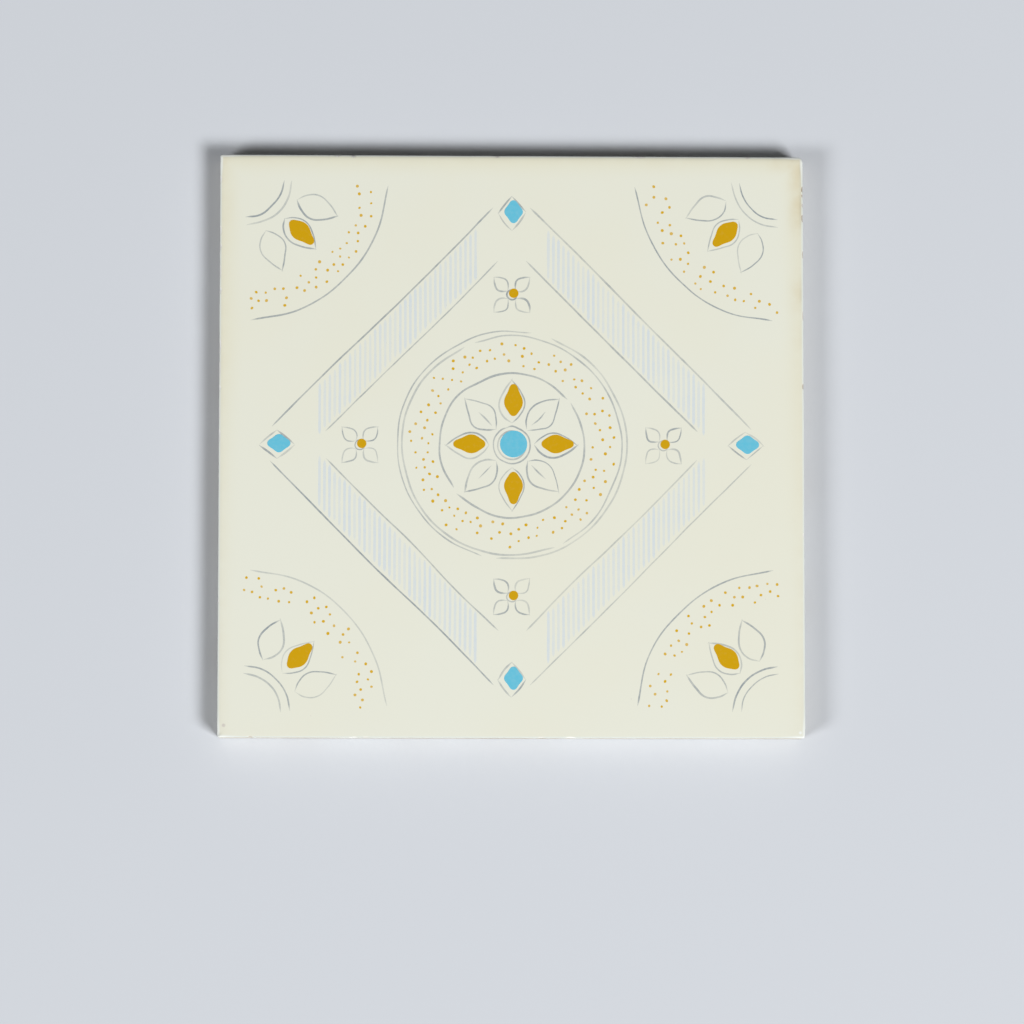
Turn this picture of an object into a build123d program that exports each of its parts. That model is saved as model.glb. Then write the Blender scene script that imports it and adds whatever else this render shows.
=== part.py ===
"""Six-inch ceramic wall tile.

One dust-pressed slab that lies on its back with the glazed face up. The face's edge is rolled over,
the back's edge is relieved, and the back carries a grid of shallow drafted pockets. The ribs that are
left between the pockets key into the adhesive, and the tile rests on them.
"""

import os

from build123d import *

# Slab, in millimetres
TILE_SIDE = 152.4
TILE_THICKNESS = 8.0
PLAN_CORNER_RADIUS = 0.8
FACE_EDGE_RADIUS = 0.7
BACK_EDGE_CHAMFER = 0.5

# Key grid on the back, in millimetres and degrees
KEY_COUNT = 6
KEY_BORDER = 8.0
KEY_RIB_WIDTH = 4.4
KEY_DEPTH = 1.1
KEY_DRAFT = 20.0
KEY_CORNER_RADIUS = 2.4

# Pockets share what the border and the ribs leave of the side
KEY_POCKET = (TILE_SIDE - 2 * KEY_BORDER - (KEY_COUNT - 1) * KEY_RIB_WIDTH) / KEY_COUNT
KEY_PITCH = KEY_POCKET + KEY_RIB_WIDTH

with BuildPart() as tile:
    # Slab with softened upright corners
    with BuildSketch(Plane.XY):
        RectangleRounded(TILE_SIDE, TILE_SIDE, PLAN_CORNER_RADIUS)
    extrude(amount=TILE_THICKNESS)

    # Rolled edge round the face, relieved edge round the back
    fillet(tile.faces().sort_by(Axis.Z)[-1].edges(), FACE_EDGE_RADIUS)
    chamfer(tile.faces().sort_by(Axis.Z)[0].edges(), BACK_EDGE_CHAMFER)

    # Key pockets, narrowing from the back towards their floors
    with BuildSketch(Plane.XY):
        with GridLocations(KEY_PITCH, KEY_PITCH, KEY_COUNT, KEY_COUNT):
            RectangleRounded(KEY_POCKET, KEY_POCKET, KEY_CORNER_RADIUS)
    extrude(amount=KEY_DEPTH, taper=KEY_DRAFT, mode=Mode.SUBTRACT)

tile.part.label = "tile"

os.makedirs("parts", exist_ok=True)
export_step(tile.part, "parts/tile.step")
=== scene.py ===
"""Looks of a ceramic wall tile: the glazed slab with its biscuit back, the fine print and a plain studio."""
import math
import random
from typing import NamedTuple

import bmesh
import bpy
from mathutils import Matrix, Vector, noise


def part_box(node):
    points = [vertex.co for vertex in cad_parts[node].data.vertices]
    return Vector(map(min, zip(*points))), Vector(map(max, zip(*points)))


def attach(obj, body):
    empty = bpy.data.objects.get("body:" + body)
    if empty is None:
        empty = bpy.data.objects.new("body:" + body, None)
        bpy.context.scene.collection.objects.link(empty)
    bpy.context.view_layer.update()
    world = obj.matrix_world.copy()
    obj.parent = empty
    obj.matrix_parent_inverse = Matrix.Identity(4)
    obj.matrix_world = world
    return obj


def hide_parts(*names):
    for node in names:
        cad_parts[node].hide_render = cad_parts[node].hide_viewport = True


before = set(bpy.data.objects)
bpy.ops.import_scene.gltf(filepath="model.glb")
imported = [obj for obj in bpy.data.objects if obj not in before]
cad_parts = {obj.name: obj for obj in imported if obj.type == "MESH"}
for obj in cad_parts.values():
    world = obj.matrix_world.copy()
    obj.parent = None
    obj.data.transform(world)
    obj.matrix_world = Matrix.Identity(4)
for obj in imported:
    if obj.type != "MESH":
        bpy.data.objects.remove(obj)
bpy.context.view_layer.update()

MM = 0.001
ROOT_TWO = math.sqrt(2)
QUARTER_TURN = math.radians(90)
TILE_LOW, TILE_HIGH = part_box("tile")
HALF_SIDE = TILE_HIGH.x

# The print stands this far proud of the glaze, and its top is the top of the solid
PRINT_RISE = 0.035 * MM
GLAZE_Z = TILE_HIGH.z - PRINT_RISE


class Side(NamedTuple):
    """A side of the tile: which way it looks and runs, and how the face falls away to its edge."""

    outward: Vector
    running: Vector
    # How far the face sinks at the edge, the width over which that fades, and the width of the tight roll
    sink: float
    fade: float
    roll: float


# Sides in the order that the rim runs
SIDES = {
    "bottom": Side(Vector((0, -1)), Vector((1, 0)), 0.03 * MM, 0.40 * MM, 0.11 * MM),
    "right": Side(Vector((1, 0)), Vector((0, 1)), 0.07 * MM, 0.40 * MM, 0.14 * MM),
    "top": Side(Vector((0, 1)), Vector((-1, 0)), 0.52 * MM, 0.50 * MM, 0.16 * MM),
    "left": Side(Vector((-1, 0)), Vector((0, -1)), 0.28 * MM, 0.55 * MM, 0.15 * MM),
}

# Face: rings from this far inside the edge, as shares of that reach, and a grid over the middle
FACE_REACH = 3.0 * MM
FACE_SHARES = (1.0, 0.79, 0.62, 0.48, 0.37, 0.28, 0.21, 0.155, 0.11, 0.07, 0.035)
FACE_CELLS = 24
FACE_GRID_REACH = 0.93 * HALF_SIDE
ROLL_STEPS = 6
SHARP_ANGLE = math.radians(50)

# Upright corners, from the bottom right one round to the bottom left one
CORNER_RADII = (0.70 * MM, 1.40 * MM, 0.65 * MM, 0.60 * MM)
CORNER_ROLL = 0.34 * MM
CORNER_ROLL_REACH = 3.0 * MM
CORNER_STEPS = 6
LEAST_RADIUS = 0.12 * MM
STATION_STEP = 0.30 * MM
STRAIGHT_REACH = HALF_SIDE - max(CORNER_RADII)

# The outline wavers slowly, is nibbled finely in patches, and stands back a little more along the bottom
EDGE_WAVER = 0.05 * MM
NIBBLE = 0.09 * MM
NIBBLE_PATCH_SPAN = (0.45, 0.75)
BOTTOM_STEP = 0.06 * MM
BOTTOM_STEP_REACH = 2.0 * MM

# Sides below the roll, where the glaze ends in an uneven lip and the biscuit stands back
LIP_LEAST = 0.5 * MM
LIP_SPREAD = 1.5 * MM
LIP_HALF = 0.10 * MM
LIP_COVER = 0.6
BISCUIT_RECESS = 0.08 * MM
LIP_RECESS = 0.3 * BISCUIT_RECESS
SIDE_STEPS = 4

# Slow wanders over the tile: the width of their hills, and the layer of noise that each has to itself
EDGE_HILLS = (8.0 * MM, 0.0)
NIBBLE_HILLS = (1.3 * MM, 2.0)
NIBBLE_PATCH_HILLS = (15.0 * MM, 5.0)
LIP_HILLS = (9.0 * MM, 3.0)
NICK_HILLS = (0.9 * MM, 7.0)

# Relieved edge and key grid of the back
BACK_CHAMFER = 0.5 * MM
CHAMFER_SHARES = (0.3, 0.7, 1.0)
BACK_RING = 2.0 * BACK_CHAMFER
KEY_COUNT = 6
KEY_BORDER = 8.0 * MM
KEY_RIB_WIDTH = 4.4 * MM
KEY_DEPTH = 1.1 * MM
KEY_SLOPE = math.tan(math.radians(20.0))
KEY_CORNER_RADIUS = 2.4 * MM
KEY_SOFTENING = 0.22 * MM
KEY_POCKET = (2 * HALF_SIDE - 2 * KEY_BORDER - (KEY_COUNT - 1) * KEY_RIB_WIDTH) / KEY_COUNT
KEY_PITCH = KEY_POCKET + KEY_RIB_WIDTH

# Nicks in the face's edges, in millimetres: place along the side, half length, depth, and darkness from 0 to
# 1, which is dirt and painted shade in the notch
NICKS = {
    "bottom": (
        (-67.8, 0.55, 0.30, 0.7), (-41.2, 1.1, 0.14, 0.0), (-37.9, 0.6, 0.20, 0.3), (7.6, 0.7, 0.18, 0.2),
        (15.4, 1.3, 0.16, 0.0), (53.0, 0.4, 0.14, 0.4),
    ),
    "right": (
        (-23.4, 0.6, 0.20, 0.1), (15.7, 0.8, 0.24, 0.8), (34.3, 1.3, 0.16, 0.6), (50.5, 1.0, 0.15, 0.7),
        (60.2, 1.1, 0.30, 0.9), (63.6, 0.5, 0.22, 0.7), (66.2, 0.5, 0.26, 0.9), (67.8, 0.8, 0.30, 1.0),
    ),
    "top": (
        (-33.5, 1.4, 0.14, 0.1), (3.9, 0.5, 0.22, 0.3), (41.6, 0.6, 0.24, 0.2), (45.8, 0.4, 0.18, 0.0),
        (-62.0, 0.5, 0.16, 0.3),
    ),
    "left": (
        (-69.8, 0.9, 0.22, 0.0), (-56.4, 1.2, 0.22, 0.0), (-52.0, 0.7, 0.24, 0.1), (-45.5, 1.6, 0.16, 0.1),
        (-40.6, 0.9, 0.26, 0.0), (-26.0, 1.9, 0.22, 0.0), (-19.5, 2.2, 0.15, 0.1), (-14.8, 0.8, 0.24, 0.0),
        (-8.4, 1.5, 0.15, 0.1), (-2.5, 1.6, 0.22, 0.0), (41.0, 0.5, 0.14, 0.1),
    ),
}
NICK_LEAST_BITE = 0.6
NICK_BLUR = 0.03 * MM

# Crumbs of glaze that stand out of an edge, in millimetres: place along the side, half width, how far out
CRUMBS = {
    "bottom": (
        (-66.6, 0.35, 0.09), (-41.6, 0.45, 0.08), (-35.0, 2.6, 0.05), (6.0, 0.40, 0.10), (9.7, 0.28, 0.08),
        (13.4, 0.45, 0.10), (17.2, 1.30, 0.09), (31.5, 0.60, 0.06),
    ),
    "right": ((20.5, 0.40, 0.05),),
    "top": (),
    "left": ((8.0, 0.50, 0.04),),
}

# Runs of glaze down the sides, in millimetres: place along the side, half width, length. The reach at which
# a run has died away is in half widths
GLAZE_RUNS = {
    "bottom": (
        (-66.8, 0.8, 0.9), (-41.8, 1.4, 1.3), (-18.0, 2.2, 0.8), (6.0, 0.8, 1.3), (9.7, 0.7, 0.9),
        (13.4, 0.8, 1.5), (17.2, 1.4, 1.8), (31.5, 2.0, 1.4),
    ),
    "right": ((-48.0, 1.8, 2.2), (9.0, 1.4, 1.0)),
    "top": ((27.0, 1.6, 1.5),),
    "left": ((52.0, 1.7, 1.9), (-6.0, 1.3, 1.1)),
}
RUN_REACH = 2.0


def smooth_step(low, high, value):
    """A smooth rise from 0 at low to 1 at high."""
    share = min(max((value - low) / (high - low), 0.0), 1.0)
    return share * share * (3.0 - 2.0 * share)


def wander(place, hill, layer):
    """A slow wander from 0 to 1 over the tile."""
    return 0.5 + 0.5 * noise.noise(Vector((place[0], place[1], layer * hill)) / hill)


# Glazed slab


class Station(NamedTuple):
    """A place on the rim: somewhere along a side, or at a share of the turn round the corner that ends it."""

    side: str
    along: float
    corner: int | None = None
    turn: float = 0.0


def rim_stations():
    """Stations all round the tile, counter-clockwise."""
    stations = []
    steps = round(2 * STRAIGHT_REACH / STATION_STEP)
    for corner, side in enumerate(SIDES):
        for step in range(steps + 1):
            stations.append(Station(side, STRAIGHT_REACH * (2 * step / steps - 1)))
        for step in range(CORNER_STEPS + 1):
            stations.append(Station(side, HALF_SIDE, corner, step / CORNER_STEPS))
    return stations


def rows_at(table, station):
    """The rows that a table holds for a station's side. A corner has none."""
    return table[station.side] if station.corner is None else ()


def rim_place(station, inset):
    """Plan place of a station on the outline that lies inset inside the tile's sides."""
    side = SIDES[station.side]
    if station.corner is None:
        limit = HALF_SIDE - max(inset, max(CORNER_RADII)) - 2 * LEAST_RADIUS
        shrink = min(1.0, limit / STRAIGHT_REACH)
        return side.outward * (HALF_SIDE - inset) + side.running * station.along * shrink
    radius = max(CORNER_RADII[station.corner] - inset, LEAST_RADIUS)
    turn = QUARTER_TURN * station.turn
    middle = (side.outward + side.running) * (HALF_SIDE - inset - radius)
    return middle + (side.outward * math.cos(turn) + side.running * math.sin(turn)) * radius


def edge_at(station):
    """Sink, fade and roll of the edge at a station. A corner leads from one side's edge to the next one's."""
    names = list(SIDES)
    following = names[(names.index(station.side) + 1) % len(names)]
    pairs = zip(SIDES[station.side][2:], SIDES[following][2:])
    sink, fade, roll = [first + (second - first) * station.turn for first, second in pairs]
    near_corner = smooth_step(HALF_SIDE - CORNER_ROLL_REACH, STRAIGHT_REACH, abs(station.along))
    return sink, fade, roll + (CORNER_ROLL - roll) * near_corner


def lip_height(station, place, top):
    """Height at which the glaze ends on the side, below a roll that ends at height top."""
    lip = LIP_LEAST + LIP_SPREAD * wander(place, *LIP_HILLS) ** 2
    for along, half_width, length in rows_at(GLAZE_RUNS, station):
        away = abs(station.along - along * MM) / (half_width * MM)
        lip += length * MM * math.sqrt(smooth_step(RUN_REACH, 0.0, away))
    return top - lip


def outline_waver(place):
    """How far the slab's outline stands inside the tile's sides at a plan place."""
    patch = smooth_step(*NIBBLE_PATCH_SPAN, wander(place, *NIBBLE_PATCH_HILLS))
    nibble = NIBBLE * patch * wander(place, *NIBBLE_HILLS) ** 2
    step = BOTTOM_STEP * smooth_step(-HALF_SIDE + BOTTOM_STEP_REACH, -HALF_SIDE, place.y)
    return EDGE_WAVER * wander(place, *EDGE_HILLS) + nibble + step


def crumb_reach(station):
    """How far the crumbs of glaze stand out of the slab's outline at a station."""
    reach = 0.0
    for along, half_width, most in rows_at(CRUMBS, station):
        away = (station.along - along * MM) / (half_width * MM)
        reach += most * MM * math.exp(-(away ** 4))
    return reach


def nicked(station, clear, inset, z):
    """The inset and height that the nicks leave of a rim point, how bare it is there, and how dark: dirt and
    painted shade in the notch.

    Clear is how far the whole edge stands off a sharp corner, measured along the slant.
    """
    bare, dirt_and_shade = 0.0, 0.0
    for along, half_length, depth, darkness in rows_at(NICKS, station):
        away = (station.along - along * MM) / (half_length * MM)
        if abs(away) >= 1.0:
            continue
        uneven = wander((station.along, depth * MM), *NICK_HILLS)
        bite = math.sqrt(1.0 - away ** 2) * (NICK_LEAST_BITE + (1.0 - NICK_LEAST_BITE) * uneven)
        beyond = (z - GLAZE_Z - inset) / ROOT_TWO + clear + depth * MM * bite
        if beyond > 0:
            inset += beyond / ROOT_TWO
            z -= beyond / ROOT_TWO
            bare = max(bare, min(beyond / NICK_BLUR, 1.0))
            dirt_and_shade = darkness
    return inset, z, bare, dirt_and_shade


def rim_column(station):
    """Inset, height and glaze cover of each ring at a station, from the face over the roll to the back."""
    place = rim_place(station, 0.0)
    sink, fade, roll = edge_at(station)
    clay = outline_waver(place)
    waver = max(clay - crumb_reach(station), 0.0)
    level = GLAZE_Z + sink * math.exp(-FACE_REACH / fade)
    insets = [roll + (FACE_REACH - roll) * share for share in FACE_SHARES]
    column = [(waver + inset, level - sink * math.exp(-inset / fade), 1.0) for inset in insets]
    lean = math.atan(sink / fade * math.exp(-roll / fade))
    radius = roll / (1 - math.sin(lean))
    top = level - sink * math.exp(-roll / fade) - radius * math.cos(lean)
    for step in range(ROLL_STEPS + 1):
        turn = lean + (QUARTER_TURN - lean) * step / ROLL_STEPS
        column.append((waver + radius * (1 - math.sin(turn)), top + radius * math.cos(turn), 1.0))
    lip = lip_height(station, place, top)
    column.append((waver, (top + lip + LIP_HALF) / 2, 1.0))
    column.append((waver, lip + LIP_HALF, 1.0))
    column.append((waver + LIP_RECESS, lip, LIP_COVER))
    biscuit = clay + BISCUIT_RECESS
    low = lip - LIP_HALF
    for step in range(SIDE_STEPS + 1):
        column.append((biscuit, low + (BACK_CHAMFER - low) * step / SIDE_STEPS, 0.0))
    for share in CHAMFER_SHARES:
        column.append((biscuit + BACK_CHAMFER * share, BACK_CHAMFER * (1 - share), 0.0))
    column.append((BACK_RING, TILE_LOW.z, 0.0))
    return column


def ring_of_quads(bm, outer, inner):
    """Joins two closed rows of points with four-sided faces."""
    count = len(outer)
    for index in range(count):
        following = (index + 1) % count
        bm.faces.new((outer[index], inner[index], inner[following], outer[following]))


def fill_flat(bm, rings, normal):
    """Fills the flat space that closed rows of points bound."""
    border = [bm.edges.get(ends) for ring in rings for ends in zip(ring, ring[1:] + ring[:1])]
    filled = bmesh.ops.triangle_fill(bm, edges=border, use_beauty=True, normal=normal)
    for face in filled["geom"]:
        if isinstance(face, bmesh.types.BMFace) and face.normal.dot(normal) < 0:
            face.normal_flip()


def face_grid(bm, cover):
    """The grid of the face's middle, all under glaze. Returns the closed row of points round it."""
    places = [FACE_GRID_REACH * (2 * step / FACE_CELLS - 1) for step in range(FACE_CELLS + 1)]
    rows = [[bm.verts.new((x, y, GLAZE_Z)) for x in places] for y in places]
    for vert in sum(rows, []):
        vert[cover] = 1.0
    for low, high in zip(rows, rows[1:]):
        for cell in range(FACE_CELLS):
            bm.faces.new((low[cell], low[cell + 1], high[cell + 1], high[cell]))
    right = [row[-1] for row in rows]
    left = [row[0] for row in rows]
    return rows[0][:-1] + right[:-1] + rows[-1][:0:-1] + left[:0:-1]


def pocket_ring(bm, centre, spread, z):
    """A closed row of points round a key pocket, spread outside its mouth, at height z."""
    radius = KEY_CORNER_RADIUS + spread
    reach = KEY_POCKET / 2 + spread - radius
    ring = []
    for corner in range(4):
        start = QUARTER_TURN * corner
        middle = Vector((math.cos(start) - math.sin(start), math.sin(start) + math.cos(start))) * reach
        for step in range(CORNER_STEPS + 1):
            angle = start + QUARTER_TURN * step / CORNER_STEPS
            place = centre + middle + Vector((math.cos(angle), math.sin(angle))) * radius
            ring.append(bm.verts.new((place.x, place.y, z)))
    return ring


def key_pockets(bm):
    """The pressed pockets of the back, with softened rims and feet. Returns the rows round their mouths."""
    soft = KEY_SOFTENING
    foot = -KEY_SLOPE * KEY_DEPTH
    # Spread outside the drafted mouth and height above the back, from the softened rim to the floor
    levels = (
        (soft, 0.0),
        (0.15 * soft, 0.30 * soft),
        (-KEY_SLOPE * soft - 0.10 * soft, soft),
        (-KEY_SLOPE * (KEY_DEPTH - soft), KEY_DEPTH - soft),
        (foot - 0.30 * soft, KEY_DEPTH - 0.20 * soft),
        (foot - 1.20 * soft, KEY_DEPTH),
    )
    mouths = []
    first = -KEY_PITCH * (KEY_COUNT - 1) / 2
    for column in range(KEY_COUNT):
        for row in range(KEY_COUNT):
            centre = Vector((first + KEY_PITCH * column, first + KEY_PITCH * row))
            rings = [pocket_ring(bm, centre, spread, TILE_LOW.z + rise) for spread, rise in levels]
            for outer, inner in zip(rings, rings[1:]):
                ring_of_quads(bm, outer, inner)
            bm.faces.new(reversed(rings[-1]))
            mouths.append(rings[0])
    return mouths


def glazed_slab():
    """The tile's mesh, with the point attributes glaze_cover, bare_nick and nick_dirt_and_shade."""
    bm = bmesh.new()
    layers = [bm.verts.layers.float.new(name) for name in ("glaze_cover", "bare_nick", "nick_dirt_and_shade")]
    columns = []
    for station in rim_stations():
        points = rim_column(station)
        clear = min(inset + GLAZE_Z - z for inset, z, cover in points) / ROOT_TWO
        column = []
        for inset, z, cover in points:
            inset, z, bare, dirt_and_shade = nicked(station, clear, inset, z)
            place = rim_place(station, inset)
            vert = bm.verts.new((place.x, place.y, z))
            for layer, value in zip(layers, (cover, bare, dirt_and_shade)):
                vert[layer] = value
            column.append(vert)
        columns.append(column)
    rings = [list(ring) for ring in zip(*columns)]
    for inner, outer in zip(rings, rings[1:]):
        ring_of_quads(bm, inner, outer)
    fill_flat(bm, [rings[0], face_grid(bm, layers[0])], Vector((0, 0, 1)))
    fill_flat(bm, [rings[-1]] + key_pockets(bm), Vector((0, 0, -1)))
    bmesh.ops.recalc_face_normals(bm, faces=bm.faces)
    mesh = bpy.data.meshes.new("glazed_tile")
    bm.to_mesh(mesh)
    bm.free()
    for polygon in mesh.polygons:
        polygon.use_smooth = True
    mesh.set_sharp_from_angle(angle=SHARP_ANGLE)
    return mesh


# Node helpers


def linear(red, green, blue):
    """A screen colour from 0 to 255, as the linear values that shaders take."""
    shares = [value / 255 for value in (red, green, blue)]
    return (*[s / 12.92 if s <= 0.04045 else ((s + 0.055) / 1.055) ** 2.4 for s in shares], 1.0)


def name_sockets(tree, in_out, kinds):
    """Gives a tree its named inputs or outputs, each of its own kind."""
    for label, kind in kinds.items():
        tree.interface.new_socket(label, in_out=in_out, socket_type="NodeSocket" + kind)


def feed(tree, node, inputs):
    """Sets a node's inputs by name or number, to a value or from another node's socket."""
    for key, value in inputs.items():
        if isinstance(value, bpy.types.NodeSocket):
            tree.links.new(value, node.inputs[key])
        else:
            node.inputs[key].default_value = value


def put(tree, kind, inputs=None, **settings):
    """Adds a node with its settings and inputs."""
    node = tree.nodes.new(kind)
    for name, value in settings.items():
        setattr(node, name, value)
    feed(tree, node, inputs or {})
    return node


def made(tree, kind, inputs=None, output=0, **settings):
    """Adds a node. Returns one of its outputs, by name or number."""
    return put(tree, kind, inputs, **settings).outputs[output]


def maths(tree, operation, first, second=0.0, clamp=False):
    """The result of a Math node."""
    return made(tree, "ShaderNodeMath", {0: first, 1: second}, operation=operation, use_clamp=clamp)


def vector_maths(tree, operation, first, second=(0.0, 0.0, 0.0), output="Vector"):
    """The Vector or the Value of a Vector Math node."""
    return made(tree, "ShaderNodeVectorMath", {0: first, 1: second}, output, operation=operation)


def ramp(tree, value, from_low, from_high, to_low=0.0, to_high=1.0, slope="SMOOTHSTEP"):
    """The result of a Map Range node."""
    inputs = {0: value, 1: from_low, 2: from_high, 3: to_low, 4: to_high}
    return made(tree, "ShaderNodeMapRange", inputs, interpolation_type=slope)


def blend(tree, factor, first, second):
    """The colour of a Mix node."""
    return made(tree, "ShaderNodeMix", {0: factor, 6: first, 7: second}, 2, data_type="RGBA")


def speckle(tree, place, scale, detail, roughness):
    """The value of a noise texture."""
    inputs = {"Vector": place, "Scale": scale, "Detail": detail, "Roughness": roughness}
    return made(tree, "ShaderNodeTexNoise", inputs, "Fac")


def attribute(tree, name):
    """The value of a mesh attribute."""
    return made(tree, "ShaderNodeAttribute", output="Fac", attribute_name=name)


# Finishes

IVORY = linear(230, 231, 217)
IVORY_WARM = linear(230, 230, 214)
# Thin glaze at the arris, whitened further as a painted highlight of the lamps on the roll
ARRIS_PALE_AND_HIGHLIGHT = linear(225, 231, 225)
# Thin glaze at the corners, whitened further as painted glints of the lamps
CORNER_PALE_AND_GLINT = linear(239, 243, 239)
EDGE_WARM = linear(226, 222, 194)
STAIN_TAN = linear(214, 200, 164)
STAIN_BROWN = linear(190, 179, 150)
SPECK_GREY = linear(194, 185, 182)
BISCUIT = linear(230, 224, 209)
BISCUIT_DARK = linear(212, 201, 180)
BISCUIT_FRESH = linear(246, 247, 243)
# Dirt in the nicks, darkened further as painted shade in the notch
NICK_DIRT_AND_SHADE = linear(176, 163, 141)

# Noises: scale, detail and roughness. A span is the part of a noise's values that its effect is spread over
GLAZE_CLOUD = (22.0, 3.0, 0.5)
GLAZE_CLOUD_SPAN = (0.35, 0.70)
STAIN_PATCHES = (230.0, 4.0, 0.6)
STAIN_PATCHES_SPAN = (0.25, 0.65)
GLOSS_CLOUD = (90.0, 3.0, 0.5)
GLOSS_CLOUD_SPAN = (0.3, 0.7)
GLAZE_WAVES = (60.0, 1.0, 0.5)
GLAZE_PITTING = (900.0, 2.0, 0.5)
BISCUIT_CLOUD = (45.0, 4.0, 0.6)
BISCUIT_CLOUD_SPAN = (0.35, 0.68)
BISCUIT_GRAIN = (1400.0, 4.0, 0.7)
BISCUIT_GRAIN_SPAN = (0.58, 0.72)
INK_MOTTLE = (1100.0, 3.0, 0.6)
INK_MOTTLE_SPAN = (0.25, 0.75)

# Warm tint along the left, right and top edges, strongest near the top
WARM_DEPTH = 7.0 * MM
WARM_STRENGTH = 0.40
WARM_RISE = (-60.0 * MM, 70.0 * MM)
WARM_LEAST = 0.05
TINT_START = 0.3 * MM

# Tan stains that have crept in from the edge, in millimetres: plan place, reach, and strength from 0 to 1
STAINS = (
    ((75.0, 71.0), 14.0, 0.64),
    ((76.2, 62.0), 11.0, 0.70),
    ((76.2, 40.0), 10.0, 0.42),
    ((76.2, 28.0), 9.0, 0.20),
    ((-76.2, 76.2), 5.0, 0.55),
    ((-76.2, 62.0), 12.0, 0.20),
    ((-76.2, 20.0), 16.0, 0.16),
    ((-30.0, 76.2), 14.0, 0.16),
    ((38.0, 76.2), 12.0, 0.17),
)
STAIN_DEPTH = 5.5 * MM
STAIN_THINNEST = 0.35
BROWN_DEPTH = (1.3 * MM, 0.5 * MM)
EDGE_STAIN = 0.14
EDGE_STAIN_DEPTH = 6.0 * MM

# Paler arris: thin glaze, with a painted highlight of the lamps on the rolled edge. It is wider and whiter at
# the corners, where a painted glint is added, and fades down the sides
ARRIS_REACH = 0.60 * MM
ARRIS_CORE = 0.4
ARRIS_STRENGTH = 0.85
ARRIS_FADE = (GLAZE_Z - 1.0 * MM, GLAZE_Z - 0.5 * MM)
ARRIS_LEAST = 0.05
CORNER_ARRIS_REACH = 0.95 * MM
CORNER_TINT = (HALF_SIDE - 8.0 * MM, HALF_SIDE - 0.5 * MM)

# Grey specks and one painted glint, in millimetres: plan place, radius
SPECKS = (((-74.5, -73.0), 0.65), ((31.0, -66.0), 0.16), ((-52.0, -70.5), 0.14), ((66.0, -40.0), 0.15))
SPECK_STRENGTH = 0.6
SPECK_CORE = 0.35
PAINTED_GLINT_SPOT = ((74.9, -74.7), 0.60)
PAINTED_GLINT_CORE = 0.2

# Roughness of the finishes, how far the glaze's strays, and the height of its pits as a share of its waves'
GLAZE_ROUGHNESS = 0.20
PRINT_ROUGHNESS = 0.23
BISCUIT_ROUGHNESS = 0.88
ROUGHNESS_STRAY = 0.03
GLAZE_PITS = 0.05
PRINT_PITS = 0.08

# Part of the glaze cover over which glaze gives way to biscuit, and how far the grain darkens biscuit
COVER_SPAN = (0.35, 0.65)
GRAIN_STRENGTH = 0.35

WAVE_BUMP = {"Strength": 0.10, "Distance": 0.3 * MM}
GRAIN_BUMP = {"Strength": 0.5, "Distance": 0.10 * MM}

# Inks: colour, cover where the tone is lowest and where it is highest, and how uneven that is
INKS = {
    "grey_blue_pen": (linear(130, 141, 150), 0.20, 0.80, 0.16),
    "pale_blue_hatching": (linear(211, 220, 225), 0.40, 0.92, 0.16),
    "ochre_dots": (linear(214, 170, 18), 0.50, 0.98, 0.05),
    "ochre_print": (linear(206, 160, 10), 0.50, 1.01, 0.03),
    "turquoise_print": (linear(102, 192, 218), 0.50, 0.98, 0.04),
}


def clouded_ivory(group, place, up, from_upper):
    """Ivory that is clouded a little, and warmer along the left, right and top edges."""
    cloud = ramp(group, speckle(group, place, *GLAZE_CLOUD), *GLAZE_CLOUD_SPAN)
    ivory = blend(group, cloud, IVORY, IVORY_WARM)
    inward = ramp(group, from_upper, WARM_DEPTH, TINT_START, 0.0, WARM_STRENGTH)
    upward = ramp(group, up, *WARM_RISE, WARM_LEAST, 1.0)
    return blend(group, maths(group, "MULTIPLY", inward, upward), ivory, EDGE_WARM)


def away_from(group, place, spot):
    """How far a point is from a spot on the face that is given in millimetres."""
    return vector_maths(group, "DISTANCE", place, (spot[0] * MM, spot[1] * MM, GLAZE_Z), "Value")


def stained(group, colour, place, from_upper, from_edge):
    """Tan stains that have crept in under the glaze, browner close to the edge."""
    stain = ramp(group, from_upper, EDGE_STAIN_DEPTH, 0.0, 0.0, EDGE_STAIN)
    for spot, reach, strength in STAINS:
        near = ramp(group, away_from(group, place, spot), reach * MM, 0.0, 0.0, strength)
        stain = maths(group, "MAXIMUM", stain, near)
    patches = ramp(group, speckle(group, place, *STAIN_PATCHES), *STAIN_PATCHES_SPAN, STAIN_THINNEST, 1.0)
    creep = maths(group, "MULTIPLY", ramp(group, from_edge, STAIN_DEPTH, TINT_START), patches)
    deep = blend(group, ramp(group, from_edge, *BROWN_DEPTH), STAIN_TAN, STAIN_BROWN)
    return blend(group, maths(group, "MULTIPLY", stain, creep), colour, deep)


def pale_and_highlit_arris(group, colour, at_corner, height, from_edge):
    """Thin, pale glaze along the arris, with a painted highlight of the lamps on the rolled edge."""
    reach = ramp(group, at_corner, 0.0, 1.0, ARRIS_REACH, CORNER_ARRIS_REACH)
    depth = maths(group, "DIVIDE", from_edge, reach)
    thin = ramp(group, depth, 1.0, ARRIS_CORE, 0.0, ARRIS_STRENGTH)
    on_top = ramp(group, height, *ARRIS_FADE, ARRIS_LEAST, 1.0)
    pale = blend(group, at_corner, ARRIS_PALE_AND_HIGHLIGHT, CORNER_PALE_AND_GLINT)
    return blend(group, maths(group, "MULTIPLY", thin, on_top), colour, pale)


def specked_and_glinted(group, colour, place):
    """Grey specks in the glaze, and a painted glint beside one corner."""
    for spot, radius in SPECKS:
        away = away_from(group, place, spot)
        speck = ramp(group, away, radius * MM, SPECK_CORE * radius * MM, 0.0, SPECK_STRENGTH)
        colour = blend(group, speck, colour, SPECK_GREY)
    # The white spot by the bottom right corner is a painted glint
    spot, radius = PAINTED_GLINT_SPOT
    bare = ramp(group, away_from(group, place, spot), radius * MM, PAINTED_GLINT_CORE * radius * MM)
    return blend(group, bare, colour, CORNER_PALE_AND_GLINT)


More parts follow.
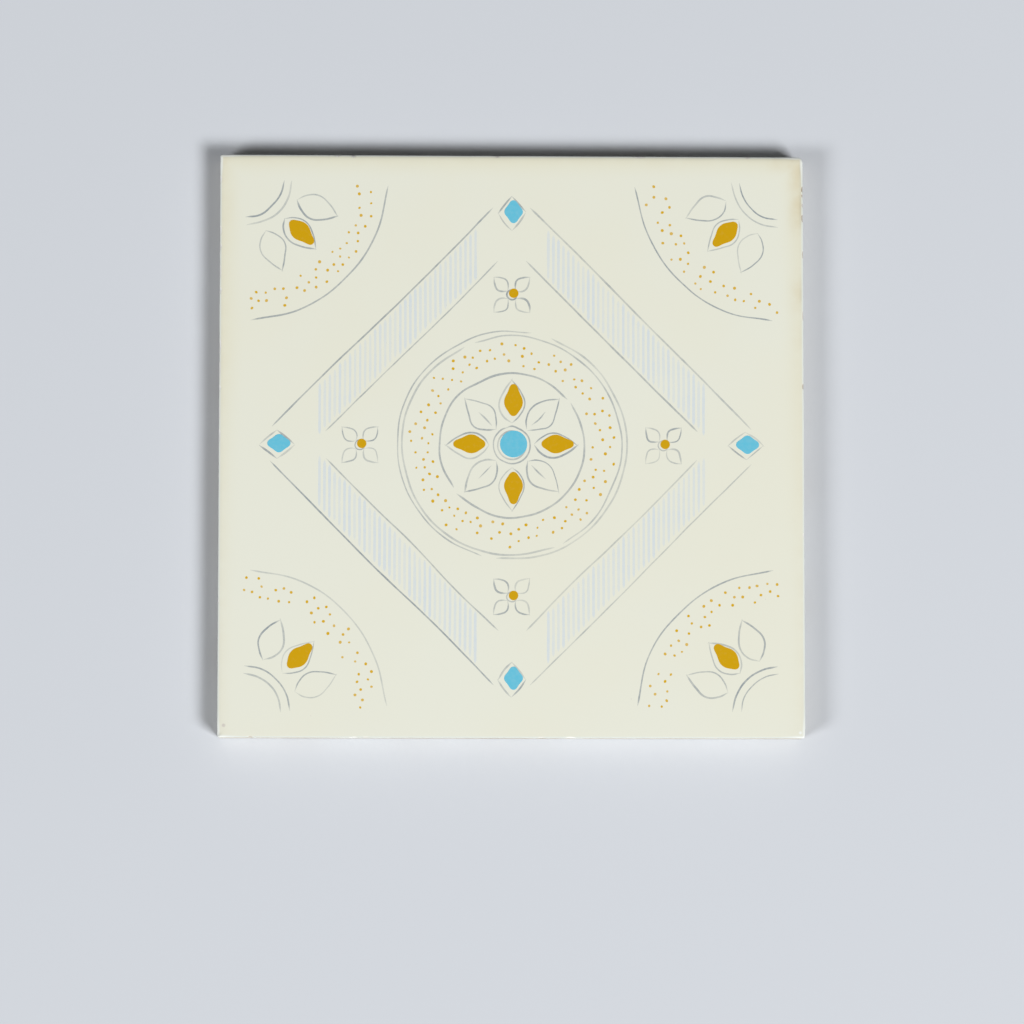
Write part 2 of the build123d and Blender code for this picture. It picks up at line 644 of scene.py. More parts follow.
def glaze_group():
    """Colour, roughness and surface height of the ivory glaze, shared by the slab and the print on it."""
    group = bpy.data.node_groups.new("ivory_glaze_tint", "ShaderNodeTree")
    name_sockets(group, "INPUT", {"Roughness": "Float", "Pits": "Float"})
    name_sockets(group, "OUTPUT", {"Color": "Color", "Roughness": "Float", "Height": "Float"})
    given = put(group, "NodeGroupInput").outputs
    place = made(group, "ShaderNodeTexCoord", output="Object")
    x, y, z = put(group, "ShaderNodeSeparateXYZ", {0: place}).outputs
    across = maths(group, "ABSOLUTE", x)
    along = maths(group, "ABSOLUTE", y)
    from_edge = maths(group, "SUBTRACT", HALF_SIDE, maths(group, "MAXIMUM", across, along))
    from_upper = maths(group, "SUBTRACT", HALF_SIDE, maths(group, "MAXIMUM", across, y))
    at_corner = ramp(group, maths(group, "MINIMUM", across, along), *CORNER_TINT)

    colour = clouded_ivory(group, place, y, from_upper)
    colour = stained(group, colour, place, from_upper, from_edge)
    # Painted highlight along the rolled arris and painted glints at the corners, over thin pale glaze
    colour = pale_and_highlit_arris(group, colour, at_corner, z, from_edge)
    # Grey specks, and a painted glint by the bottom right corner
    colour = specked_and_glinted(group, colour, place)
    gloss = speckle(group, place, *GLOSS_CLOUD)
    stray = ramp(group, gloss, *GLOSS_CLOUD_SPAN, -ROUGHNESS_STRAY, ROUGHNESS_STRAY)
    rough = maths(group, "ADD", given["Roughness"], stray)
    pits = maths(group, "MULTIPLY", speckle(group, place, *GLAZE_PITTING), given["Pits"])
    height = maths(group, "ADD", speckle(group, place, *GLAZE_WAVES), pits)
    put(group, "NodeGroupOutput", {"Color": colour, "Roughness": rough, "Height": height})
    return group


def new_material(name):
    """An empty node material with its output and Principled shader."""
    material = bpy.data.materials.new(name)
    material.use_nodes = True
    tree = material.node_tree
    tree.nodes.clear()
    shader = put(tree, "ShaderNodeBsdfPrincipled")
    put(tree, "ShaderNodeOutputMaterial", {"Surface": shader.outputs[0]})
    return material, tree, shader


def glaze_in(tree, glaze, roughness, pits):
    """Places the shared glaze in a material. Returns its outputs and the bump of its waves and pits."""
    tint = put(tree, "ShaderNodeGroup", {"Roughness": roughness, "Pits": pits}, node_tree=glaze).outputs
    return tint, made(tree, "ShaderNodeBump", {"Height": tint["Height"], **WAVE_BUMP})


def tile_material(glaze):
    """Ivory glaze where it covers the slab, and grainy biscuit elsewhere."""
    material, tree, shader = new_material("glazed_earthenware")
    place = made(tree, "ShaderNodeTexCoord", output="Object")
    tint, waves = glaze_in(tree, glaze, GLAZE_ROUGHNESS, GLAZE_PITS)
    bare = attribute(tree, "bare_nick")
    grain = speckle(tree, place, *BISCUIT_GRAIN)
    cloud = ramp(tree, speckle(tree, place, *BISCUIT_CLOUD), *BISCUIT_CLOUD_SPAN)
    grainy = ramp(tree, grain, *BISCUIT_GRAIN_SPAN, 0.0, GRAIN_STRENGTH)
    clouded = blend(tree, cloud, BISCUIT, BISCUIT_DARK)
    # Chipped biscuit darkens with dirt and with painted shade in the notch
    chipped = blend(tree, attribute(tree, "nick_dirt_and_shade"), BISCUIT_FRESH, NICK_DIRT_AND_SHADE)
    biscuit = blend(tree, bare, blend(tree, grainy, clouded, BISCUIT_DARK), chipped)

    cover = ramp(tree, attribute(tree, "glaze_cover"), *COVER_SPAN)
    glazed = maths(tree, "MULTIPLY", cover, maths(tree, "SUBTRACT", 1.0, bare))
    rough = made(tree, "ShaderNodeMix", {0: glazed, 2: BISCUIT_ROUGHNESS, 3: tint["Roughness"]})
    height = maths(tree, "MULTIPLY", grain, maths(tree, "SUBTRACT", 1.0, glazed))
    bump = made(tree, "ShaderNodeBump", {"Height": height, "Normal": waves, **GRAIN_BUMP})
    colour = blend(tree, glazed, biscuit, tint["Color"])
    feed(tree, shader, {"Base Color": colour, "Roughness": rough, "Normal": bump})
    return material


def ink_material(name, glaze, ink, thinnest, fullest, uneven):
    """A fired ink in the glaze. It lets the ivory through where the stroke's tone is low."""
    material, tree, shader = new_material(name)
    place = made(tree, "ShaderNodeTexCoord", output="Object")
    tint, waves = glaze_in(tree, glaze, PRINT_ROUGHNESS, PRINT_PITS)
    mottle = speckle(tree, place, *INK_MOTTLE)
    mottled = ramp(tree, mottle, *INK_MOTTLE_SPAN, 1.0 - uneven, 1.0 + uneven)
    toned = ramp(tree, attribute(tree, "tone"), 0.0, 1.0, thinnest, fullest)
    density = maths(tree, "MULTIPLY", toned, mottled, clamp=True)
    colour = blend(tree, density, tint["Color"], ink)
    feed(tree, shader, {"Base Color": colour, "Roughness": tint["Roughness"], "Normal": waves})
    return material


# Print: where its strokes, hatching, dots and colour patches lie, in millimetres and degrees on the face

QUARTERS = (0, 90, 180, 270)
LATTICE_OUT = 67.0
LATTICE_IN = 52.0
LATTICE_GAP = 9.5
LATTICE_STOPS = (0.07, 0.3, 0.5, 0.7, 0.93)
LOZENGE_PLACE = 61.0
LOZENGE_HALF = 4.6
LOZENGE_HEIGHT = 0.8
LOZENGE_BULGE = 1.06

PETAL_SHAPE = ((0.0, 0.0), (0.16, 0.62), (0.42, 1.0), (0.72, 0.66), (1.02, -0.05))
PETAL_ROOT = 5.8
PETAL_TIP = 17.2
PETAL_HALF_WIDTH = 3.3
PETAL_COUNT = 8
VEIN = ((1.6, 0.1), (4.0, -0.1), (6.6, 0.0))
DOT_RING = (20.6, 27.0)

# Arcs of the rosette: radius, and the bearings between which the pen ran
ROSETTE_HUB = 4.8
HUB_ARCS = ((ROSETTE_HUB, 100, 470), (ROSETTE_HUB - 1.1, 10, 365))
RING_ARCS = (
    (18.9, 40, 215), (18.9, 222, 396),
    (28.6, -62, 110), (28.6, 116, 292),
    (29.9, 80, 255), (29.9, 262, 430),
)

CORNER = 70.0
CORNER_ARCS = (10.5, 12.6, 37.5)
CORNER_ARC_SPAN = (3, 87)
CORNER_PETAL = (15.0, 26.5)
CORNER_BEARINGS = (22.5, 45.0, 67.5)
CORNER_DOT_RING = (29.5, 35.5)
FOIL_PLACE = 39.5
FOIL_PETAL = (1.5, 6.6)
FOIL_HALF_WIDTH = 1.7
FOIL_HEART_ARC = (1.3, 30, 385)

# Colour patches: their sizes beside the drawn shapes, and their shift, as in a print out of register
PATCH_SHARE = 0.74
HEART_PATCH_ARC = (1.25, 0, 315)
HUB_PATCH_ARC = (ROSETTE_HUB - 1.3, 0, 330)
LOZENGE_PATCH = 0.66 * LOZENGE_HALF
LOZENGE_PATCH_SHAPE = ((1.0, 0.0), (0.5, 0.52), (0.0, 0.8), (-0.5, 0.52))
MISREGISTER = (0.45, 0.35)

PEN_HALF_WIDTH = (0.15, 0.26)
PEN_STEP = 0.45
PEN_WOBBLE = 0.22
PEN_TAPER = 1.6
PEN_JITTER = 0.18
PEN_JITTER_SHARE = 0.035
HATCH_PITCH = 1.28
HATCH_HALF_WIDTH = 0.33
HATCH_TAPER = 0.7
HATCH_MARGIN = 0.8
HATCH_LENGTH = LATTICE_OUT - LATTICE_IN - 2 * HATCH_MARGIN
HATCH_REACH = (0.93, 1.04)
DOT_MARGIN = 0.5
DOT_FIELD = CORNER - DOT_MARGIN
DOT_SPACING = 2.0
DOT_RADIUS = (0.31, 0.44)
DOT_OVAL = (0.78, 1.1)
DOT_TONE = (0.6, 1.0)

# Hand: width left at a stroke's ends, swell with pressure, and the part of the tone that is a stroke's own
TAPER_LEAST = 0.3
PRESS_SPAN = (0.25, 0.75)
PRESS_SWELL = (0.8, 1.2)
STROKE_TONE = (0.15, 1.0)
STROKE_TONE_SHARE = 0.6

# Relief of the print. Flatness is a share of half a stroke's width or of a dot's radius
STROKE_FLATNESS = 0.085
SECTION_SIDES = 8
DOT_FLATNESS = 0.06
BEAD_SIDES = {"Segments": 10, "Rings": 4}
PATCH_RISE = 0.030 * MM
MERGE_DISTANCE = 0.001 * MM

# Shading and map: slope below which a point is on the underside, and how far points under the glaze move out
UNDERSIDE = -0.01
MAP_SPREAD = 0.30 * MM

# Randomness of the print: waves of the wobble in metres, noises of wobble and pressure, dots per square metre
WOBBLE_WAVE = 9.0 * MM
PATCH_WOBBLE_WAVE = 4.5 * MM
WOBBLE_DETAIL = 1.0
PRESS_NOISE = (140.0, 2.0)
DOT_DENSITY = 900000.0
PRINT_SEED = 11
DOT_OVAL_SEED = 5
DOT_TURN_SEED = 9
DOT_TONE_SEED = 21


def circle_arc(radius, start, end, centre=(0.0, 0.0), spacing=20.0):
    """Points along an arc, from one bearing to another."""
    steps = max(2, round(abs(end - start) / spacing))
    angles = [math.radians(start + (end - start) * step / steps) for step in range(steps + 1)]
    return [(centre[0] + radius * math.cos(a), centre[1] + radius * math.sin(a)) for a in angles]


def turned(points, degrees, centre=(0.0, 0.0)):
    """Points turned about the origin and then shifted to a centre."""
    c, s = math.cos(math.radians(degrees)), math.sin(math.radians(degrees))
    return [(centre[0] + c * x - s * y, centre[1] + s * x + c * y) for x, y in points]


def petal_side(root, tip, half_width, lean):
    """One long side of a pointed petal that lies along +X. Lean is 1 or -1."""
    length = tip - root
    return [(root + along * length, lean * out * half_width) for along, out in PETAL_SHAPE]


def petal_strokes(root, tip, half_width, bearing, centre=(0.0, 0.0)):
    """Both sides of a petal that points along a bearing from a centre."""
    return [turned(petal_side(root, tip, half_width, lean), bearing, centre) for lean in (1, -1)]


def petal_outline(root, tip, half_width):
    """The closed outline of a petal's colour patch, a share of the drawn petal."""
    middle = (root + tip) / 2
    near = middle + (root - middle) * PATCH_SHARE
    far = middle + (tip - middle) * PATCH_SHARE
    upper = petal_side(near, far, half_width * PATCH_SHARE, 1)
    lower = petal_side(near, far, half_width * PATCH_SHARE, -1)
    return upper[:-1] + [(far, 0.0)] + lower[-2:0:-1]


def rosette_strokes():
    """Centre rosette: hub rings, petals, every other one with a vein, and the rings round the dots."""
    strokes = [circle_arc(*arc) for arc in HUB_ARCS]
    for index in range(PETAL_COUNT):
        bearing = 360.0 / PETAL_COUNT * index
        strokes += petal_strokes(PETAL_ROOT, PETAL_TIP, PETAL_HALF_WIDTH, bearing)
        if index % 2:
            strokes.append(turned([(PETAL_ROOT + along, out) for along, out in VEIN], bearing))
    return strokes + [circle_arc(*arc) for arc in RING_ARCS]


def lattice_strokes():
    """The two pen lines on each slanting side of the lattice, and the lozenges where the sides meet."""
    strokes = []
    height = LOZENGE_HALF * LOZENGE_HEIGHT
    tips = [(LOZENGE_HALF, 0.0), (0.0, height), (-LOZENGE_HALF, 0.0), (0.0, -height)]
    for bearing in QUARTERS:
        for reach in (LATTICE_OUT, LATTICE_IN):
            run = [(reach * (1 - share), reach * share) for share in LATTICE_STOPS]
            strokes.append(turned(run, bearing))
        for start, end in zip(tips, tips[1:] + tips[:1]):
            middle = [(a + b) / 2 * LOZENGE_BULGE for a, b in zip(start, end)]
            side = [(x + LOZENGE_PLACE, y) for x, y in (start, middle, end)]
            strokes.append(turned(side, bearing))
    return strokes


def foil_strokes():
    """Small four-petalled flowers in the lattice's corners."""
    strokes = []
    for bearing in QUARTERS:
        centre = turned([(FOIL_PLACE, 0.0)], bearing)[0]
        for leaf in QUARTERS:
            strokes += petal_strokes(*FOIL_PETAL, FOIL_HALF_WIDTH, 45 + leaf, centre)
        strokes.append(circle_arc(*FOIL_HEART_ARC, centre, spacing=40.0))
    return strokes


def corner_strokes():
    """Quarter rosettes in the tile's corners."""
    strokes = []
    for bearing in QUARTERS:
        centre = turned([(CORNER, CORNER)], bearing)[0]
        for radius in CORNER_ARCS:
            strokes.append(turned(circle_arc(radius, *CORNER_ARC_SPAN), bearing + 180, centre))
        for leaf in CORNER_BEARINGS:
            strokes += petal_strokes(*CORNER_PETAL, PETAL_HALF_WIDTH, bearing + 180 + leaf, centre)
    return strokes


def new_curve(name):
    """An empty curve whose points may lie at any height."""
    curve = bpy.data.curves.new(name, "CURVE")
    curve.dimensions = "3D"
    return curve


def smooth_spline(curve, places):
    """Adds a smooth spline through plan places in millimetres."""
    spline = curve.splines.new("BEZIER")
    spline.bezier_points.add(len(places) - 1)
    for point, (x, y) in zip(spline.bezier_points, places):
        point.co = (x * MM, y * MM, GLAZE_Z)
        point.handle_left_type = point.handle_right_type = "AUTO"
    return spline


def pen_curve():
    """All pen strokes as one curve, each point's radius being half the stroke's width."""
    hand = random.Random(PRINT_SEED)
    curve = new_curve("pen_strokes")
    for stroke in rosette_strokes() + lattice_strokes() + foil_strokes() + corner_strokes():
        half_width = hand.uniform(*PEN_HALF_WIDTH)
        jitter = min(PEN_JITTER, PEN_JITTER_SHARE * math.dist(*stroke[:2]))
        drawn = [(x + hand.gauss(0, jitter), y + hand.gauss(0, jitter)) for x, y in stroke]
        for point in smooth_spline(curve, drawn).bezier_points:
            point.radius = half_width * MM
    return curve


def hatch_curve():
    """Middle lines of the lattice's four bands, which the hatching follows."""
    curve = new_curve("hatch_lines")
    far = (LATTICE_OUT + LATTICE_IN) / 2 - LATTICE_GAP
    for bearing in QUARTERS:
        spline = curve.splines.new("POLY")
        spline.points.add(1)
        ends = turned([(far, LATTICE_GAP), (LATTICE_GAP, far)], bearing)
        for point, (x, y) in zip(spline.points, ends):
            point.co = (x * MM, y * MM, GLAZE_Z, 1.0)
    return curve


def patch_curve(name, outlines):
    """Closed outlines of one colour, out of register with the pen lines."""
    curve = new_curve(name)
    for outline in outlines:
        shifted = [(x + MISREGISTER[0], y + MISREGISTER[1]) for x, y in outline]
        smooth_spline(curve, shifted).use_cyclic_u = True
    return curve


def ochre_outlines():
    """Ochre patches: every other petal of the rosette, the corner petals and the little flowers' hearts."""
    outlines = []
    petal = petal_outline(PETAL_ROOT, PETAL_TIP, PETAL_HALF_WIDTH)
    corner_petal = petal_outline(*CORNER_PETAL, PETAL_HALF_WIDTH)
    for bearing in QUARTERS:
        corner, heart = turned([(CORNER, CORNER), (FOIL_PLACE, 0.0)], bearing)
        outlines.append(turned(petal, bearing))
        outlines.append(turned(corner_petal, bearing + 225, corner))
        outlines.append(circle_arc(*HEART_PATCH_ARC, heart, spacing=45.0))
    return outlines


def turquoise_outlines():
    """Turquoise patches: the rosette's hub and the lozenges of the lattice."""
    outlines = [circle_arc(*HUB_PATCH_ARC, spacing=30.0)]
    upper = [(x * LOZENGE_PATCH, y * LOZENGE_PATCH) for x, y in LOZENGE_PATCH_SHAPE]
    lozenge = upper + [(-x, -y) for x, y in upper]
    for bearing in QUARTERS:
        outlines.append(turned([(x + LOZENGE_PLACE, y) for x, y in lozenge], bearing))
    return outlines


def flat_square(name, reach, z):
    """A flat square mesh about the origin, at height z."""
    mesh = bpy.data.meshes.new(name)
    corners = ((-reach, -reach, z), (reach, -reach, z), (reach, reach, z), (-reach, reach, z))
    mesh.from_pydata(corners, [], [(0, 1, 2, 3)])
    return mesh


# Node trees that grow the print from its paths

STROKE_SIZES = ("Step", "Wobble", "Taper", "Flatness")


def growing_tree(name, *sizes):
    """A geometry tree with an input for each size, the seed and the ink. Returns it with their sockets."""
    tree = bpy.data.node_groups.new(name, "GeometryNodeTree")
    lengths = dict.fromkeys(sizes, "Float")
    name_sockets(tree, "INPUT", {"Geometry": "Geometry", **lengths, "Seed": "Int", "Ink": "Material"})
    name_sockets(tree, "OUTPUT", {"Geometry": "Geometry"})
    return tree, put(tree, "NodeGroupInput").outputs


def finished(tree, geometry, ink):
    """Ends a tree: instances made real, smooth shading, material."""
    real = made(tree, "GeometryNodeRealizeInstances", {0: geometry})
    shaded = made(tree, "GeometryNodeSetShadeSmooth", {0: real, "Shade Smooth": True})
    inked = made(tree, "GeometryNodeSetMaterial", {"Geometry": shaded, "Material": ink})
    put(tree, "NodeGroupOutput", {0: inked})


def xyz(tree, **parts):
    """The vector of a Combine XYZ node."""
    return made(tree, "ShaderNodeCombineXYZ", parts)


def chance(tree, low, high, seed, **keys):
    """The number of a Random Value node."""
    return made(tree, "FunctionNodeRandomValue", {2: low, 3: high, "Seed": seed, **keys}, 1)


def moved(tree, geometry, offset):
    """The geometry with its points shifted."""
    return made(tree, "GeometryNodeSetPosition", {"Geometry": geometry, "Offset": offset})


def even_steps(tree, curve, length):
    """The curve with points set evenly along it."""
    return made(tree, "GeometryNodeResampleCurve", {"Curve": curve, "Length": length}, mode="LENGTH")


def with_tone(tree, geometry, tone, domain="POINT"):
    """The geometry with the tone that its ink reads."""
    inputs = {"Geometry": geometry, "Name": "tone", "Value": tone}
    return made(tree, "GeometryNodeStoreNamedAttribute", inputs, domain=domain)


def point_noise(tree, output, seed, scale, detail):
    """An output of a noise over the places of the points."""
    place = made(tree, "GeometryNodeInputPosition")
    inputs = {"Vector": place, "W": seed, "Scale": scale, "Detail": detail}
    return made(tree, "ShaderNodeTexNoise", inputs, output, noise_dimensions="4D")


def hand_wobble(tree, geometry, amount, wave, seed):
    """Shifts points sideways by a slow noise, as an unsteady hand does."""
    drift = point_noise(tree, "Color", seed, 1.0 / wave, WOBBLE_DETAIL)
    centred = vector_maths(tree, "SUBTRACT", drift, (0.5, 0.5, 0.5))
    return moved(tree, geometry, vector_maths(tree, "MULTIPLY", centred, xyz(tree, X=amount, Y=amount)))


def inked_strokes(tree, size, curve, half_width):
    """Ends a tree with a flat rounded section swept along each spline of a curve, by an unsteady hand.

    The strokes thin towards their ends and with the pressure of the hand.
    """
    seed = size["Seed"]
    drawn = hand_wobble(tree, even_steps(tree, curve, size["Step"]), size["Wobble"], WOBBLE_WAVE, seed)
    along = made(tree, "GeometryNodeSplineParameter", output="Length")
    whole = made(tree, "GeometryNodeSplineLength", output="Length")
    from_end = maths(tree, "MINIMUM", along, maths(tree, "SUBTRACT", whole, along))
    thinned = ramp(tree, from_end, 0.0, size["Taper"], TAPER_LEAST, 1.0, "LINEAR")
    pressure = ramp(tree, point_noise(tree, "Fac", seed, *PRESS_NOISE), *PRESS_SPAN, slope="LINEAR")
    swell = maths(tree, "MULTIPLY", thinned, ramp(tree, pressure, 0.0, 1.0, *PRESS_SWELL, "LINEAR"))

    spline = made(tree, "GeometryNodeCurveOfPoint", output="Curve Index")
    own = maths(tree, "MULTIPLY", chance(tree, *STROKE_TONE, seed, ID=spline), STROKE_TONE_SHARE)
    pressed = maths(tree, "MULTIPLY", pressure, 1.0 - STROKE_TONE_SHARE)
    tone = maths(tree, "MULTIPLY", maths(tree, "ADD", own, pressed), thinned)
    toned = with_tone(tree, drawn, tone)
    upright = made(tree, "GeometryNodeSetCurveNormal", {"Curve": toned}, mode="Z_UP")

    ring = made(tree, "GeometryNodeCurvePrimitiveCircle", {"Resolution": SECTION_SIDES, "Radius": 1.0})
    stretch = xyz(tree, X=1.0, Y=size["Flatness"], Z=1.0)
    section = made(tree, "GeometryNodeTransform", {"Geometry": ring, "Scale": stretch})
    wide = maths(tree, "MULTIPLY", half_width, swell)
    sweep = {"Curve": upright, "Profile Curve": section, "Scale": wide, "Fill Caps": True}
    finished(tree, made(tree, "GeometryNodeCurveToMesh", sweep), size["Ink"])


def pen_tree():
    """Pen lines along the drawn curves."""
    tree, size = growing_tree("pen_lines", *STROKE_SIZES)
    inked_strokes(tree, size, size["Geometry"], made(tree, "GeometryNodeInputRadius"))
    return tree


def hatch_tree():
    """Upright strokes side by side along the middle lines of the bands."""
    tree, size = growing_tree("upright_hatching", "Pitch", "Length", "Half Width", *STROKE_SIZES)
    stops = even_steps(tree, size["Geometry"], maths(tree, "MULTIPLY", size["Pitch"], ROOT_TWO))
    half = maths(tree, "MULTIPLY", size["Length"], 0.5)
    ends = {"Start": xyz(tree, Y=maths(tree, "MULTIPLY", half, -1.0)), "End": xyz(tree, Y=half)}
    stroke = made(tree, "GeometryNodeCurvePrimitiveLine", ends)
    scale = xyz(tree, X=1.0, Y=chance(tree, *HATCH_REACH, size["Seed"]), Z=1.0)
    row = {"Points": stops, "Instance": stroke, "Scale": scale}
    copies = made(tree, "GeometryNodeInstanceOnPoints", row)
    inked_strokes(tree, size, made(tree, "GeometryNodeRealizeInstances", {0: copies}), size["Half Width"])
    return tree


def between(tree, value, low, high):
    """1 where a value lies between two limits."""
    above = maths(tree, "GREATER_THAN", value, low)
    return maths(tree, "MULTIPLY", above, maths(tree, "LESS_THAN", value, high))


def strewn_points(tree, size):
    """Points strewn over the ring round the rosette and over the quarter rings in the corners."""
    field = {"Mesh": size["Geometry"], "Distance Min": size["Spacing"], "Density Max": DOT_DENSITY,
             "Seed": size["Seed"]}
    strewn = made(tree, "GeometryNodeDistributePointsOnFaces", field, distribute_method="POISSON")
    flat = vector_maths(tree, "MULTIPLY", made(tree, "GeometryNodeInputPosition"), (1, 1, 0))
    radius = vector_maths(tree, "LENGTH", flat, output="Value")
    corner = xyz(tree, X=size["Corner"], Y=size["Corner"])
    from_corner = vector_maths(tree, "DISTANCE", vector_maths(tree, "ABSOLUTE", flat), corner, "Value")
    on_ring = between(tree, radius, size["Inner"], size["Outer"])
    on_corner_ring = between(tree, from_corner, size["Corner Inner"], size["Corner Outer"])
    spare = maths(tree, "LESS_THAN", maths(tree, "MAXIMUM", on_ring, on_corner_ring), 0.5)
    return made(tree, "GeometryNodeDeleteGeometry", {"Geometry": strewn, "Selection": spare})


def dot_tree():
    """Flat oval dots on strewn points."""
    tree, size = growing_tree("ochre_dots", "Spacing", "Inner", "Outer", "Corner", "Corner Inner",
                              "Corner Outer", "Least Radius", "Most Radius", "Flatness")
    wide = chance(tree, size["Least Radius"], size["Most Radius"], size["Seed"])
    oval = maths(tree, "MULTIPLY", wide, chance(tree, *DOT_OVAL, DOT_OVAL_SEED))
    rise = maths(tree, "MULTIPLY", size["Most Radius"], size["Flatness"])
    scatter = {"Points": strewn_points(tree, size),
               "Instance": made(tree, "GeometryNodeMeshUVSphere", {**BEAD_SIDES, "Radius": 1.0}),
               "Rotation": xyz(tree, Z=chance(tree, 0.0, math.pi, DOT_TURN_SEED)),
               "Scale": xyz(tree, X=wide, Y=oval, Z=rise)}
    dots = made(tree, "GeometryNodeInstanceOnPoints", scatter)
    toned = with_tone(tree, dots, chance(tree, *DOT_TONE, DOT_TONE_SEED), "INSTANCE")
    finished(tree, toned, size["Ink"])
    return tree


def patch_tree():
    """Thin closed patches of colour inside closed outlines.

    Filling leaves them at height 0, so they are lifted to the glaze.
    """
    tree, size = growing_tree("colour_patches", "Step", "Wobble", "Bed", "Rise")
    even = even_steps(tree, size["Geometry"], size["Step"])
    drawn = hand_wobble(tree, even, size["Wobble"], PATCH_WOBBLE_WAVE, size["Seed"])
    filled = made(tree, "GeometryNodeFillCurve", {"Curve": drawn}, mode="TRIANGLES")
    sheet = moved(tree, filled, xyz(tree, Z=maths(tree, "SUBTRACT", size["Bed"], size["Rise"])))
    lift = xyz(tree, Z=maths(tree, "MULTIPLY", size["Rise"], 2.0))
    rise = {"Mesh": sheet, "Offset": lift, "Offset Scale": 1.0, "Individual": False}
    whole = put(tree, "GeometryNodeJoinGeometry", {0: made(tree, "GeometryNodeExtrudeMesh", rise)})
    feed(tree, whole, {0: made(tree, "GeometryNodeFlipFaces", {0: sheet})})
    seam = {"Geometry": whole.outputs[0], "Distance": MERGE_DISTANCE}
    closed = made(tree, "GeometryNodeMergeByDistance", seam)
    finished(tree, with_tone(tree, closed, 1.0), size["Ink"])
    return tree


def lay_level(mesh):
    """Shades a print mesh as ink that lies level in the glaze, and maps it as seen from above.

    On the map, points under the glaze are moved outwards, so that upright sides have some width there.
    """
    level = [(0.0, 0.0, 1.0 if vertex.normal.z > UNDERSIDE else -1.0) for vertex in mesh.vertices]
    places = []
    for vertex in mesh.vertices:
        shift = MAP_SPREAD if vertex.co.z < GLAZE_Z else 0.0
        places.append((vertex.co.xy + vertex.normal.xy * shift) / (2 * HALF_SIDE) + Vector((0.5, 0.5)))
    layer = mesh.uv_layers.new(name="OFBake")
    for loop, spot in zip(mesh.loops, layer.uv):
        spot.vector = places[loop.vertex_index]
    mesh.normals_split_custom_set_from_vertices(level)


def add(name, data):
    """Adds an object to the scene."""
    item = bpy.data.objects.new(name, data)
    bpy.context.collection.objects.link(item)
    return item


def grown(name, path, tree, sizes, seed, ink):
    """The piece that a tree grows from a curve or mesh, as a plain mesh on the tile."""
    source = add(name + "_path", path)
    modifier = source.modifiers.new("grow", "NODES")
    modifier.node_group = tree
    sockets = [item for item in tree.interface.items_tree if item.in_out == "INPUT"]
    identifiers = {item.name: item.identifier for item in sockets}
    for label, value in {**sizes, "Seed": seed, "Ink": ink}.items():
        modifier[identifiers[label]] = value
    depsgraph = bpy.context.evaluated_depsgraph_get()
    mesh = bpy.data.meshes.new_from_object(source.evaluated_get(depsgraph), depsgraph=depsgraph,
                                           preserve_all_data_layers=True)
    bpy.data.objects.remove(source)
    mesh.name = name
    lay_level(mesh)
    piece = add(name, mesh)
    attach(piece, "root")


# Studio

FLOOR_PALE = linear(206, 210, 216)
FLOOR_REACH = 4.0
FLOOR_ROUGHNESS = 0.9
FLOOR_SPECULAR = 0.1
CAMERA_PLACE = (-0.03377, -0.12876, 1.2523)
CAMERA_TURN = (math.radians(5.11), math.radians(-1.56), math.radians(0.03))
CAMERA_LENS = 169.05
SENSOR_WIDTH = 36.0
SKY_PALE = linear(250, 250, 252)
SKY_LIGHT = 0.07

# Lamps: name, place, width, power
LAMPS = (
    ("right_softbox", (2.08, -1.80, 3.25), 1.50, 164.0),
    ("left_softbox", (-3.25, -1.80, 3.25), 1.55, 110.0),
)


def pale_floor():
    """A plain floor under the tile, clear when it is looked at from below."""
    mesh = flat_square("floor", FLOOR_REACH, TILE_LOW.z)
    material, tree, shader = new_material("pale_floor")
    behind = made(tree, "ShaderNodeNewGeometry", output="Backfacing")
    feed(tree, shader, {"Base Color": FLOOR_PALE, "Roughness": FLOOR_ROUGHNESS,
                        "Specular IOR Level": FLOOR_SPECULAR, "Alpha": maths(tree, "SUBTRACT", 1.0, behind)})
    mesh.materials.append(material)
    floor = add("floor", mesh)


def soft_lamp(name, place, width, power):
    """A square soft lamp that looks at the tile."""
    light = bpy.data.lights.new(name, "AREA")
    light.size = width
    light.energy = power
    lamp = add(name, light)
    lamp.location = place
    lamp.rotation_euler = (-Vector(place)).to_track_quat("-Z", "Y").to_euler()


def studio_sky():
    """Even pale light from all round."""
    world = bpy.data.worlds.new("studio_sky")
    world.use_nodes = True
    feed(world.node_tree, world.node_tree.nodes["Background"], {"Color": SKY_PALE, "Strength": SKY_LIGHT})
    bpy.context.scene.world = world


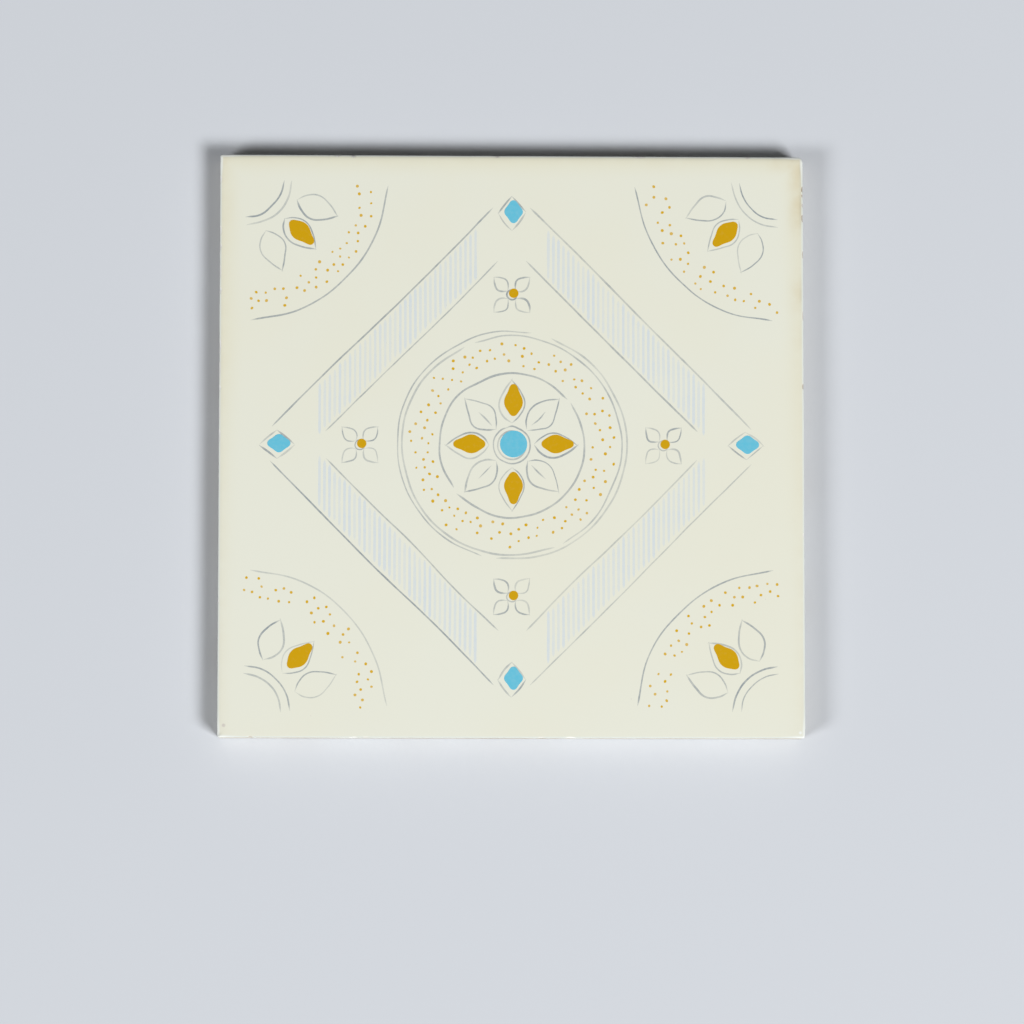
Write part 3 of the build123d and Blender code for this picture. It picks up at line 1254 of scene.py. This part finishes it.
def photo_camera():
    """The camera at the photograph's place and angle."""
    data = bpy.data.cameras.new("camera")
    data.lens = CAMERA_LENS
    data.sensor_width = SENSOR_WIDTH
    camera = add("camera", data)
    camera.location = CAMERA_PLACE
    camera.rotation_euler = CAMERA_TURN
    bpy.context.scene.camera = camera


# Slab

ivory_glaze = glaze_group()
tile = add("glazed_tile", glazed_slab())
tile.data.materials.append(tile_material(ivory_glaze))
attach(tile, "root")
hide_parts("tile")

# Print

inks = {name: ink_material(name, ivory_glaze, *look) for name, look in INKS.items()}
pen_sizes = {"Step": PEN_STEP * MM, "Wobble": PEN_WOBBLE * MM, "Taper": PEN_TAPER * MM,
             "Flatness": STROKE_FLATNESS}
hatch_sizes = {**pen_sizes, "Taper": HATCH_TAPER * MM, "Pitch": HATCH_PITCH * MM, "Length": HATCH_LENGTH * MM,
               "Half Width": HATCH_HALF_WIDTH * MM}
dot_sizes = {"Spacing": DOT_SPACING * MM, "Inner": DOT_RING[0] * MM, "Outer": DOT_RING[1] * MM,
             "Corner": CORNER * MM, "Corner Inner": CORNER_DOT_RING[0] * MM,
             "Corner Outer": CORNER_DOT_RING[1] * MM, "Least Radius": DOT_RADIUS[0] * MM,
             "Most Radius": DOT_RADIUS[1] * MM, "Flatness": DOT_FLATNESS}
patch_sizes = {"Step": PEN_STEP * MM, "Wobble": PEN_WOBBLE * MM, "Bed": GLAZE_Z, "Rise": PATCH_RISE}

grown("pen_lines", pen_curve(), pen_tree(), pen_sizes, PRINT_SEED, inks["grey_blue_pen"])
grown("blue_hatching", hatch_curve(), hatch_tree(), hatch_sizes, PRINT_SEED + 1, inks["pale_blue_hatching"])
grown("ochre_dots", flat_square("dot_field", DOT_FIELD * MM, GLAZE_Z), dot_tree(), dot_sizes,
      PRINT_SEED + 2, inks["ochre_dots"])
grown("ochre_patches", patch_curve("ochre_outlines", ochre_outlines()), patch_tree(), patch_sizes,
      PRINT_SEED + 3, inks["ochre_print"])
grown("turquoise_patches", patch_curve("turquoise_outlines", turquoise_outlines()), patch_tree(), patch_sizes,
      PRINT_SEED + 4, inks["turquoise_print"])

# Floor, light and camera

pale_floor()
for lamp in LAMPS:
    soft_lamp(*lamp)
studio_sky()
photo_camera()
bpy.context.scene.view_settings.view_transform = "Standard"
